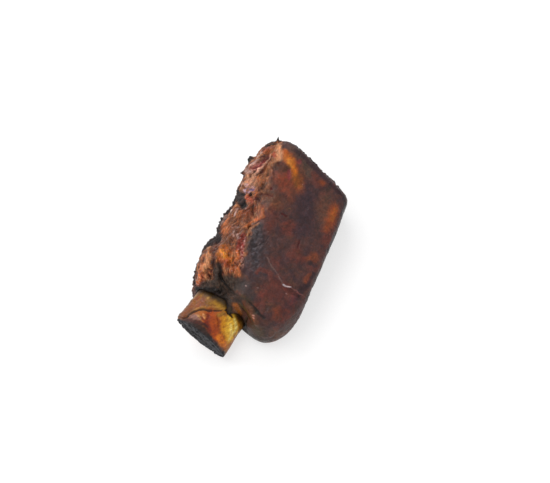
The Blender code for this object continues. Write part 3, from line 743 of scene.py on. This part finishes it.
def makeMeat():
    # the plain form moved along its normals by the fine relief and the marks, then the pocket's wall
    angle, station = meatGrid()
    points, fromMouth = meatSurface(angle, station)
    print("meat form reached")

    normals = sheetNormals(points)
    if np.mean(np.sum(normals * (points - points.mean(axis=(0, 1))), axis=-1)) < 0:
        normals = -normals
    torn = tornShare(points)
    bark = 1 - torn
    nearFace = ease(-points[..., 0], 0.056, 0.062)
    free = ease(points[..., 2], 0.001, 0.005) * ease(fromMouth, 0.0004, 0.003)
    wandering = shifted(shifted(points, (7, 7, 7), 1.0, 40), (2.5, 2.5, 2.5), 0.5, 44)
    warped = shifted(shifted(points, (16, 16, 16), 4.0, 50), (5, 5, 5), 1.0, 54)
    strands, thick, thin = tornStrands(points, warped)
    leftEdge, farEdge, rightEdge = burntEdges(points)
    fringe = np.maximum(leftEdge, farEdge)
    spikes = np.clip(ridges(points, (3.6, 3.6, 3.6), 83) - 0.05, 0, 1)
    pits = np.clip(layeredNoise(points, (4.5, 4.5, 4.5), 72) - 0.3, 0, 1)
    crackLines = np.abs(layeredNoise(wandering, (11, 9, 9), 73, 2))
    cracks = np.exp(-((crackLines / 0.035) ** 2)) * ease(bumpNoise(points, (16, 16, 16), 75), 0.0, 0.4)
    footPlaces = strandPlaces(warped, facing(-133, -60), facing(-133, 20))
    footStripes = nearby(points, (-58, -36, 16), (9, 12, 13)) * ridges(footPlaces, (14, 1.9, 6), 81)
    beads = awayFromPath(wandering, ontoSurface(glintRow, points, wandering))[0]
    glints = np.exp(-((beads / 0.0009) ** 2)) * ease(bumpNoise(points, (1.7, 1.7, 1.7), 85), 0.0, 0.3)

    # fine relief: strands and pits on the torn side, grain and cracks on the bark, spikes on burnt edges
    fields = {
        "thick": torn * thick,
        "thin": torn * thin,
        "crumbs": torn * layeredNoise(points, (2.6, 2.6, 2.6), 71, 2),
        "tornPits": -torn * pits,
        "grain": bark * layeredNoise(points, (3.6, 3.6, 3.6), 77, 2),
        "swells": bark * bumpNoise(points, (9, 7, 7), 79),
        "cracks": -bark * cracks,
        "barkPits": -bark * pits,
        "threads": bark * thin,
        "footStripes": footStripes,
        "spikes": fringe * spikes,
        "fringeSink": -fringe,
        "rightSpikes": rightEdge * (spikes - 0.3),
        "glints": glints,
    }
    fine = sum(meatForm["relief"][name] * field for name, field in fields.items())

    steep = ease(-normals[..., 2], -0.40, 0.05)
    skin, gloss = meatSkin(points, thick, thin, torn, nearFace, steep, (leftEdge, farEdge, rightEdge))
    skin = skin * (1 + 0.25 * footStripes)[..., None]
    outside = np.where(normals @ nearSight > 0.05, 0, 9)[..., None] + points  # hidden points out of reach
    lift, skin, gloss = layMarks(points, outside, wandering, meatMarks, meatTones, skin, gloss)
    skin = skin * (1 - torn[..., None] * np.array(meatForm["tornShade"]))
    # painted highlights: pale pinkish grey specks on moist strand crests of the torn side, which are also
    # made glossier
    moist = ease(bumpNoise(points, (1.6, 1.2, 1.2), 98), 0.30, 0.60) * ease(gloss, 0.3, 0.6)
    sparkleHighlight = 0.5 * torn * moist * ease(thin + 0.5 * thick, 0.1, 0.7) * (1 - fringe)
    besideFold = nearby(points, (-63, -12, 24), (4, 4, 6))
    mouthShade = 0.9 * np.exp(-((fromMouth / 0.0022) ** 2)) * (1 - 0.85 * besideFold)
    burntTips = 0.7 * fringe * spikes
    for name, share in (("pinkGrey", sparkleHighlight), ("black", burntTips), ("black", mouthShade)):
        skin = blend(skin, paintTone(meatTones, name), share)
    skin = blend(skin, paintTone(meatTones, "pink"), 0.65 * glints)
    gloss = np.maximum(gloss, 0.95 * np.maximum(glints, sparkleHighlight))

    points = points + (free * (fine / 1000 + lift))[..., None] * normals
    points[..., 2] = np.maximum(points[..., 2], 0)
    # painted shade: the colour darkens where the fine relief and the marks sink the surface
    hollowShade = np.clip(-(fine + 0.45 * lift * 1000) / 1.2, 0, 1) * free
    skin = skin * (1 - 0.68 * hollowShade)[..., None]
    print("meat relief and colours laid")

    # the pocket's wall, back from the mouth to its bottom
    gap = meatForm["pocketGap"]
    bottom = boneForm["farEnd"] + gap
    back = np.linspace(0, 1, 5)[:-1, None]
    around = angle[0] + 0 * back
    pocket = roundTheBone(bottom + back * (points[0, :, 0] - bottom), boneRadius(around) + gap, around)
    fibrous = torn * (1 - 0.7 * nearFace) * (1 - 0.6 * fringe)
    attributes = {"skin": skin, "gloss": gloss, "torn": fibrous, "strand": strands}
    for name, values in attributes.items():
        attributes[name] = np.concatenate([np.repeat(values[:1], len(pocket), axis=0), values])
    return closedPiece("roastedMeat", np.concatenate([pocket, points]), attributes)


# The bone's visible piece

boneTones = {
    "gain": 0.95, "sheen": 0.023, "bare": (168, 98, 38), "film": (130, 86, 34), "olive": (138, 99, 24),
    "yellowOlive": (166, 122, 34), "redBrown": (136, 72, 34), "greyTan": (96, 68, 45),
    "lip": (192, 142, 82), "line": (56, 34, 22), "purple": (134, 100, 96), "tan": (216, 150, 98),
    "brown": (78, 47, 32), "orange": (164, 77, 6), "orangeDark": (116, 54, 8), "orangePale": (204, 116, 38),
    "gold": (236, 186, 72), "goldDark": (200, 136, 34), "rightBrown": (150, 108, 54),
    "pale": (252, 228, 140), "under": (96, 66, 44), "charred": (66, 66, 71), "charredDark": (45, 43, 46),
    "charredTop": (55, 43, 45), "black": (26, 23, 24),
}

boneMarks = {
    "filmOlive": mark([(-63, 9, 27), (-62, 1, 26), (-62, -4, 24)], 4.5, "olive", 0.8, soft=0.8),
    "filmDark": mark([(-61, 19, 24), (-60, 9, 27), (-59, 2, 27), (-60, -3, 26)], 2.0, "line", 0.2,
        soft=0.9),
    "filmYellow": mark([(-64, 3, 26), (-64, -4, 24)], 3.2, "yellowOlive", 0.9, soft=0.7),
    "filmRed": mark([(-68, 12, 26), (-73, 12, 26)], 3.2, "redBrown", 0.8, soft=0.8),
    "filmRedSpot": mark([(-67, 16, 25), (-70, 17, 25)], 1.4, "redBrown", 0.8, soft=0.7),
    "filmTan": mark([(-65, 10, 27)], 0.9, "lip", 0.5, 0.2, 0.8, 0.9),
    "filmSide": mark([(-70, 20, 22), (-80, 18, 24), (-86, 17, 24)], 3.6, "greyTan", 0.85, soft=0.6),
    "filmShade": mark([(-71, 17, 25), (-79, 15, 26), (-85, 16, 25)], 3.0, "redBrown", 0.5, soft=0.9),
    "orangeBack": mark([(-74, 2, 26), (-79, -2, 24), (-83, -9, 19)], 5.2, "orange", 0.95, -0.2, 0.7),
    "orangeLines": mark([(-75, 3, 26), (-80, 1, 25), (-83, -3, 23)], 1.5, "orangeDark", 0.8, -0.3, 0.8),
    "orangeLineB": mark([(-72, -2, 25), (-77, -6, 22)], 0.8, "orangeDark", 0.6, -0.3, 0.8),
    "orangeLow": mark([(-82, -10, 19), (-83, -14, 15)], 3.0, "orangePale", 0.85),
    "goldLeft": mark([(-70, -6, 22), (-75, -10, 19), (-80, -15, 14)], 2.6, "goldDark", 0.85),
    "goldBack": mark([(-66, -9, 20), (-70, -12, 17), (-76, -14, 14)], 4.6, "gold", 0.95, 0.3, 0.6, 0.8),
    "rightSide": mark([(-63, -15, 15), (-66, -16, 11), (-72, -17, 9)], 2.6, "rightBrown", 0.9),
    # painted highlights: pale and gold streaks along the bone's glossy side
    "boneHighlightFar": mark([(-66, -11, 18), (-69, -14, 14), (-73, -14, 13)], 1.1, "pale", 0.95, 0.25, 0.8, 0.9),
    "boneHighlightNear": mark([(-70, -11, 18), (-73, -13, 15), (-78, -14, 14)], 1.0, "pale", 0.7, 0.25, 0.8, 0.9),
    "boneHighlightThin": mark([(-68, -15, 12), (-73, -16, 11)], 0.8, "gold", 0.8, 0.2, 0.8, 0.9),
    "purplePatch": mark([(-82, 12, 26), (-80, 7, 26)], 2.6, "purple", 0.85, gloss=0.8, soft=0.7),
    "tanPatch": mark([(-76, 6, 26), (-78, 4, 26)], 1.3, "tan", 0.85, 0.3, 0.7, 0.9),
    "tanDash": mark([(-79, 9, 26), (-80, 6, 26)], 0.8, "lip", 0.6, 0.2, 0.8, 0.9),
    "redEdge": mark([(-79, 5, 26), (-80, 1, 25), (-83, -4, 23)], 1.1, "orangeDark", 0.8),
    "charredTop": mark([(-87, 14, 25), (-86, 8, 26), (-85, 3, 25), (-86, -2, 24), (-87, -6, 22)], 3.2,
        "charredTop", 0.95, -0.2, 0.6, 0.2),
    "charredLow": mark([(-87, -6, 22), (-87, -11, 18), (-87, -15, 12), (-87, -16, 8)], 1.9, "charred", 0.85,
        0, 0.7, 0.2),
    "brownBelow": mark([(-85, 13, 26), (-84, 8, 26), (-82, 4, 26), (-82, -1, 25)], 1.3, "brown", 0.95,
        -0.2),
    "filmLip": mark([(-82, 13, 26), (-76, 12, 26), (-73, 9, 27), (-68, 3, 26), (-65, -3, 24)], 0.8, "lip",
        0.3, 0.3, 0.8, 0.7),
    "filmLine": mark([(-86, 16, 25), (-84, 14, 26), (-81, 13, 26), (-78, 12, 26), (-74, 8, 27),
        (-72, 4, 26), (-69, 0, 25), (-65, -4, 23)], 0.6, "line", 0.8, -0.6),
    "lineEnd": mark([(-65, -4, 23), (-65, -6, 22), (-66, -9, 20)], 1.1, "line", 0.95, -0.3),
}


def boneGrid():
    # rings from the sawn end's middle over its rim and along the shaft to the hidden end's middle
    tip, far, rim = boneForm["bareEnd"], boneForm["farEnd"], boneForm["rim"]
    turns = np.linspace(0, 2 * math.pi, 1801)
    section = roundTheBone(np.zeros_like(turns), boneRadius(turns), turns)
    angles = 2 * math.pi * evenSteps(section, boneForm["columns"] + 1)[:-1]
    endShare = np.linspace(0.02, 0.97, boneForm["endRows"])
    bend = np.linspace(0, math.pi / 2, 6)
    inner = meatForm["nearX"] + 0.004
    shaft = np.linspace(tip + boneForm["sawnDepth"], inner, boneForm["bareRows"])
    buried = [inner + 0.01, -0.02, 0.01, far - rim, far, far, far]
    x = np.concatenate([np.full(len(endShare), tip), tip + rim * (1 - np.cos(bend)), shaft, buried])
    buriedShare = [1, 1, 1, 1, 0.95, 0.5, 0.05]
    share = np.concatenate([endShare, 0.97 + 0.03 * np.sin(bend), np.ones(len(shaft)), buriedShare])
    angle, x = np.meshgrid(angles, x)
    return angle, x, np.repeat(share[:, None], len(angles), axis=1)


def makeBone():
    # the oval radius with the film's step, grain and marks added, and the sawn end sunk and crumbled
    tip, near = boneForm["bareEnd"], meatForm["nearX"]
    angle, x, share = boneGrid()
    bare = ease(near - 0.0035 - x, 0, 0.005)
    sawn = ease(-x, -(tip + boneForm["sawnDepth"]), -(tip + 0.0002))
    surface = roundTheBone(x, boneRadius(angle), angle)
    lumps = 0.0005 * bumpNoise(surface, (9, 6, 6), 23)
    wandering = shifted(shifted(surface, (6, 6, 6), 1.0, 140), (2, 2, 2), 0.35, 143)
    # beyond the film's edge, towards the sawn end, the bone lies lower
    path = mm(boneMarks["filmLine"]["path"])[::-1]
    edgeX = np.interp(wandering[..., 1], path[:, 1], path[:, 0])
    beyond = ease(edgeX - wandering[..., 0], -0.0004, 0.0007) * np.where(surface[..., 2] > 0.012, 1, 0.6)
    film = -boneForm["filmStep"] * beyond
    flare = boneForm["flare"] * boneRadius(angle) * ease(-x, -near, -tip)
    small = 0.00012 * layeredNoise(surface, (3.5, 2.0, 2.0), 144, 3)
    fold = 0.0003 * (1 - beyond) * ridges(shifted(surface, (9, 9, 9), 2, 150), (5, 9, 9), 147)
    radius = share * (boneRadius(angle) + bare * (lumps + film + flare + small + fold))
    x = x + ease(near - x, 0, near - tip) * boneForm["skew"] * radius * np.cos(angle - boneForm["roll"])
    points = roundTheBone(x, radius, angle)

    # colours: the film's, then the bare bone's, then the marks
    mottle = layeredNoise(surface, (6, 4, 4), 160, 3)
    skin = coated(points, boneTones, "film", [("olive", 1, mottle, -0.3, 0.5)])
    skin = blend(skin, coated(points, boneTones, "bare", [("rightBrown", 1, mottle, 0.0, 0.6)]), beyond)
    gloss = 0.65 + 0.2 * mottle
    lift, skin, gloss = layMarks(surface, surface, wandering, boneMarks, boneTones, skin, gloss)
    outward = np.stack([np.zeros_like(angle), np.cos(angle), np.sin(angle)], axis=-1)
    points += (bare * lift)[..., None] * outward
    # painted shade: the bone darkens towards the under colour in its lowest 9 mm
    skin = blend(skin, paintTone(boneTones, "under"), 0.75 * ease(-surface[..., 2], -0.009, -0.004))

    # sawn end: rough and porous, its middle a little sunk, its rim crumbled
    pores = np.clip(layeredNoise(points, (2.4, 2.4, 2.4), 151, 3) - 0.05, 0, 1)
    crumble = layeredNoise(points, (3.5, 3.5, 3.5), 155, 3)
    middle = 1 - np.clip(share, 0, 1) ** 4
    points[..., 0] += sawn * (0.0009 * middle + 0.0011 * pores + 0.0004 * crumble)
    rim = np.exp(-(((points[..., 0] - tip) / 0.0022) ** 2)) * ease(share, 0.8, 1.0)
    points += (0.0005 * rim * crumble)[..., None] * outward
    sawnSkin = coated(points, boneTones, "charred", [
        ("charredDark", 1, crumble, -0.2, 0.5),
        ("black", 1, pores, 0.1, 0.5),
    ])
    singe = np.maximum(sawn, rim * ease(crumble + 0.4 * mottle, -0.2, 0.4))
    skin = blend(skin, sawnSkin, singe)
    gloss = gloss * (1 - 0.8 * singe)
    # painted shade: the bone blackens from 3 mm before the meat's near face inwards, where it goes into the
    # meat
    buriedShare = ease(surface[..., 0], near - 0.003, near + 0.001)
    skin = blend(skin, paintTone(boneTones, "black"), 0.85 * buriedShare)
    return closedPiece("ribBone", points, {"skin": skin, "gloss": gloss, "sawn": sawn})


# Materials

class Nodes:
    # short hand for building a node tree: each method adds a node and gives its output
    def __init__(self, name):
        self.material = bpy.data.materials.new(name)
        self.material.use_nodes = True
        self.tree = self.material.node_tree

    def put(self, value, socket):
        # a socket is linked, any other value is set
        if isinstance(value, bpy.types.NodeSocket):
            self.tree.links.new(value, socket)
        else:
            socket.default_value = value

    def node(self, kind, values, output=0, **settings):
        made = self.tree.nodes.new("ShaderNode" + kind)
        for name, setting in settings.items():
            setattr(made, name, setting)
        for label, value in values.items():
            self.put(value, made.inputs[label])
        return made.outputs[output]

    def attribute(self, name, vector=False):
        return self.node("Attribute", {}, "Vector" if vector else "Fac", attribute_name=name)

    def objectPlace(self):
        return self.node("TexCoord", {}, "Object")

    def stretched(self, vector, factors):
        return self.node("VectorMath", {0: vector, 1: factors}, operation="MULTIPLY")

    def scaled(self, vector, factor):
        return self.node("VectorMath", {0: vector, "Scale": factor}, operation="SCALE")

    def noise(self, vector, scale, detail=4.0, rough=0.55, distortion=0.0):
        values = {"Vector": vector, "Scale": scale, "Detail": detail, "Roughness": rough}
        return self.node("TexNoise", {**values, "Distortion": distortion}, "Fac")

    def maths(self, operation, *values, clamp=False):
        return self.node("Math", dict(enumerate(values)), operation=operation, use_clamp=clamp)

    def product(self, first, *others):
        for other in others:
            first = self.maths("MULTIPLY", first, other)
        return first

    def spread(self, value, low, high, toLow=0.0, toHigh=1.0):
        values = {"Value": value, "From Min": low, "From Max": high, "To Min": toLow, "To Max": toHigh}
        return self.node("MapRange", values, "Result", interpolation_type="SMOOTHSTEP")

    def mix(self, factor, below, above):
        return self.node("Mix", {0: factor, 6: (*below, 1), 7: (*above, 1)}, 2, data_type="RGBA")

    def bump(self, height, distance, strength, below=None):
        values = {"Strength": strength, "Distance": distance, "Height": height}
        if below is not None:
            values["Normal"] = below
        return self.node("Bump", values, "Normal")

    def roughness(self, gloss, mottle, look):
        # from dull to shiny by the gloss, uneven with the mottling
        rough = self.maths("MULTIPLY_ADD", gloss, look["shiny"] - look["shineless"], look["shineless"])
        uneven = self.maths("SUBTRACT", mottle, 0.5)
        rough = self.maths("MULTIPLY_ADD", uneven, look["uneven"], rough, clamp=True)
        return self.maths("MAXIMUM", rough, look["smoothest"])

    def finish(self, values):
        # the shader's own sockets linked or set
        for label, value in values.items():
            self.put(value, self.tree.nodes["Principled BSDF"].inputs[label])
        return self.material


meatLook = {
    "warm": (1.10, 0.96, 0.90),
    "cool": (0.90, 1.02, 1.10),
    "shineless": 0.62,
    "shiny": 0.20,
    "uneven": 0.45,
    "smoothest": 0.12,
    "specular": 0.22,
    "coat": 0.12,
    "coatRoughness": 0.16,
}


def meatMaterial():
    n = Nodes("browned meat")
    place = n.objectPlace()
    mottle = n.noise(place, 260, 5, 0.62)
    hue = n.noise(place, 420, 4, 0.6)
    grain = n.noise(place, 900, 4, 0.6)
    dust = n.noise(place, 2400, 3, 0.6)
    strand = n.attribute("strand", vector=True)
    fibres = n.noise(n.stretched(strand, (260, 900, 520)), 1.0, 4, 0.62, 0.3)
    threads = n.noise(n.stretched(strand, (520, 2200, 1100)), 1.0, 3, 0.6, 0.2)
    torn = n.attribute("torn")

    # the laid colours, varied by mottling, by fibres on the torn side, and by hue
    strandTone = n.maths("MULTIPLY_ADD", threads, 0.45, n.maths("MULTIPLY", fibres, 0.55))
    strandTone = n.spread(strandTone, 0.36, 0.64, 0.50, 1.52)
    fibrous = n.maths("MULTIPLY_ADD", torn, 0.75, 0.25)
    strandTone = n.maths("MULTIPLY_ADD", n.maths("SUBTRACT", strandTone, 1.0), fibrous, 1.0)
    value = n.product(n.spread(mottle, 0.32, 0.68, 0.78, 1.22), n.spread(grain, 0.3, 0.7, 0.84, 1.16),
                      strandTone, n.spread(dust, 0.3, 0.7, 0.92, 1.08))
    tint = n.mix(n.spread(hue, 0.36, 0.64), meatLook["cool"], meatLook["warm"])
    tinted = n.stretched(n.attribute("skin", vector=True), tint)

    normal = n.bump(mottle, 0.0006, 0.4)
    normal = n.bump(fibres, 0.0011, n.maths("MULTIPLY", torn, 0.8), normal)
    normal = n.bump(grain, 0.0004, 0.6, normal)
    return n.finish({
        "Base Color": n.scaled(tinted, value),
        "Roughness": n.roughness(n.attribute("gloss"), mottle, meatLook),
        "Normal": normal,
        "Specular IOR Level": meatLook["specular"],
        "Coat Weight": meatLook["coat"],
        "Coat Roughness": meatLook["coatRoughness"],
        "Coat Normal": n.bump(threads, 0.0003, 0.5, normal),
    })


boneLook = {
    "warm": (1.06, 0.95, 0.80),
    "cool": (0.98, 1.02, 1.00),
    "grainTurn": math.radians(28),
    "shineless": 0.75,
    "shiny": 0.16,
    "uneven": 0.35,
    "smoothest": 0.1,
    "specular": 0.28,
    "coat": 0.14,
    "coatRoughness": 0.12,
}


def boneMaterial():
    n = Nodes("roasted bone")
    place = n.objectPlace()
    turned = n.node("Mapping", {"Vector": place, "Rotation": (0, 0, boneLook["grainTurn"])})
    streaks = n.noise(n.stretched(turned, (140, 620, 620)), 1.0, 4, 0.6, 0.4)
    mottle = n.noise(place, 300, 5, 0.62)
    grain = n.noise(place, 1200, 4, 0.6)
    pits = n.noise(place, 700, 2, 0.5)
    value = n.product(n.spread(mottle, 0.3, 0.7, 0.80, 1.18), n.spread(streaks, 0.32, 0.68, 0.74, 1.26),
                      n.spread(grain, 0.3, 0.7, 0.90, 1.10))
    hue = n.mix(n.spread(streaks, 0.35, 0.65), boneLook["warm"], boneLook["cool"])
    tinted = n.stretched(n.attribute("skin", vector=True), hue)
    normal = n.bump(streaks, 0.0009, 0.4)
    normal = n.bump(pits, 0.0012, n.maths("MULTIPLY", n.attribute("sawn"), 0.8), normal)
    return n.finish({
        "Base Color": n.scaled(tinted, value),
        "Roughness": n.roughness(n.attribute("gloss"), mottle, boneLook),
        "Normal": n.bump(grain, 0.0003, 0.6, normal),
        "Specular IOR Level": boneLook["specular"],
        "Coat Weight": boneLook["coat"],
        "Coat Roughness": boneLook["coatRoughness"],
    })


meatPiece = makeMeat()
meatPiece.data.materials.append(meatMaterial())
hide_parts("meat")
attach(meatPiece, "root")

bonePiece = makeBone()
bonePiece.data.materials.append(boneMaterial())
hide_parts("bone")
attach(bonePiece, "root")
print("meat and bone dressed")


# Floor, light and camera

stageSet = {
    "floorColour": (0.40, 0.40, 0.403),
    "floorSpeck": (0.30, 0.30, 0.30),
    "floorGlow": 0.62,  # the floor is a light table, so that shadows stay pale
    "floorReach": 3.0,
    "worldColour": (1.0, 1.0, 1.0),
    "worldStrength": 0.75,
    "turn": math.radians(59),
    "lookDown": math.radians(58),
    "mmPerPixel": 0.71,
    "widthPixels": 550,
    "aimPixels": (3, 11.5),  # right and up from the rib's own zero
    "lens": 60,
    "sensor": 36,
    "lightAim": (0, 0, 0.02),
    "lights": {  # left, far and up, size, power and colour
        "softKey": ((0.60, 0.30, 1.15), (1.1, 1.1), 7.0, (1.0, 0.985, 0.96)),
        "leftStrip": ((0.70, 0.20, 0.35), (0.4, 0.08), 1.3, (0.95, 0.97, 1.0)),
        "farStrip": ((0.15, 0.75, 0.80), (0.4, 0.10), 1.6, (0.97, 0.98, 1.0)),
    },
}


def makeFloor():
    # one square that glows a little, with faint specks
    side = stageSet["floorReach"]
    corners = [(-side, -side, 0), (side, -side, 0), (side, side, 0), (-side, side, 0)]
    mesh = bpy.data.meshes.new("floor")
    mesh.from_pydata(corners, [], [(0, 1, 2, 3)])
    floor = bpy.data.objects.new("floor", mesh)
    bpy.context.scene.collection.objects.link(floor)
    n = Nodes("pale floor")
    specks = n.spread(n.noise(n.objectPlace(), 60, 3, 0.5), 0.3, 0.7, 0.0, 0.04)
    mesh.materials.append(n.finish({
        "Base Color": n.mix(specks, stageSet["floorColour"], stageSet["floorSpeck"]),
        "Roughness": 0.8,
        "Emission Color": (1, 1, 1, 1),
        "Emission Strength": stageSet["floorGlow"],
    }))


def makeLight(name, place, size, power, colour):
    # a rectangle of light at this place, turned to the aim point
    lamp = bpy.data.lights.new(name, "AREA")
    lamp.shape = "RECTANGLE"
    lamp.size, lamp.size_y = size
    lamp.energy = power
    lamp.color = colour
    light = bpy.data.objects.new(name, lamp)
    light.location = place
    light.rotation_euler = (Vector(stageSet["lightAim"]) - place).to_track_quat("-Z", "Y").to_euler()
    bpy.context.scene.collection.objects.link(light)


def makeCamera():
    # its distance makes one pixel at the rib the chosen size: picture width there, by lens over sensor
    turn, down, pixel = stageSet["turn"], stageSet["lookDown"], stageSet["mmPerPixel"] / 1000
    right = Vector((math.cos(turn), -math.sin(turn), 0))
    ahead = Vector((math.sin(turn), math.cos(turn), 0))
    back = Vector((0, 0, math.sin(down))) - ahead * math.cos(down)
    up = back.cross(right)
    camera = bpy.data.objects.new("camera", bpy.data.cameras.new("camera"))
    camera.data.sensor_width = stageSet["sensor"]
    camera.data.lens = stageSet["lens"]
    distance = stageSet["widthPixels"] * pixel / stageSet["sensor"] * stageSet["lens"]
    aimRight, aimUp = stageSet["aimPixels"]
    look = Vector(ribPlace) + right * aimRight * pixel + up * aimUp * pixel
    camera.matrix_world = Matrix((right, up, back)).transposed().to_4x4()
    camera.matrix_world.translation = look + back * distance
    bpy.context.scene.collection.objects.link(camera)
    bpy.context.scene.camera = camera
    return right, ahead


makeFloor()
toRight, toFar = makeCamera()
for name, ((left, far, high), size, power, colour) in stageSet["lights"].items():
    makeLight(name, toFar * far - toRight * left + Vector((0, 0, high)), size, power, colour)

world = bpy.data.worlds.new("studio")
world.use_nodes = True
world.node_tree.nodes["Background"].inputs[0].default_value = (*stageSet["worldColour"], 1)
world.node_tree.nodes["Background"].inputs[1].default_value = stageSet["worldStrength"]
bpy.context.scene.world = world
bpy.context.scene.view_settings.view_transform = "Standard"
bpy.context.scene.view_settings.look = "None"
print("stage lit")
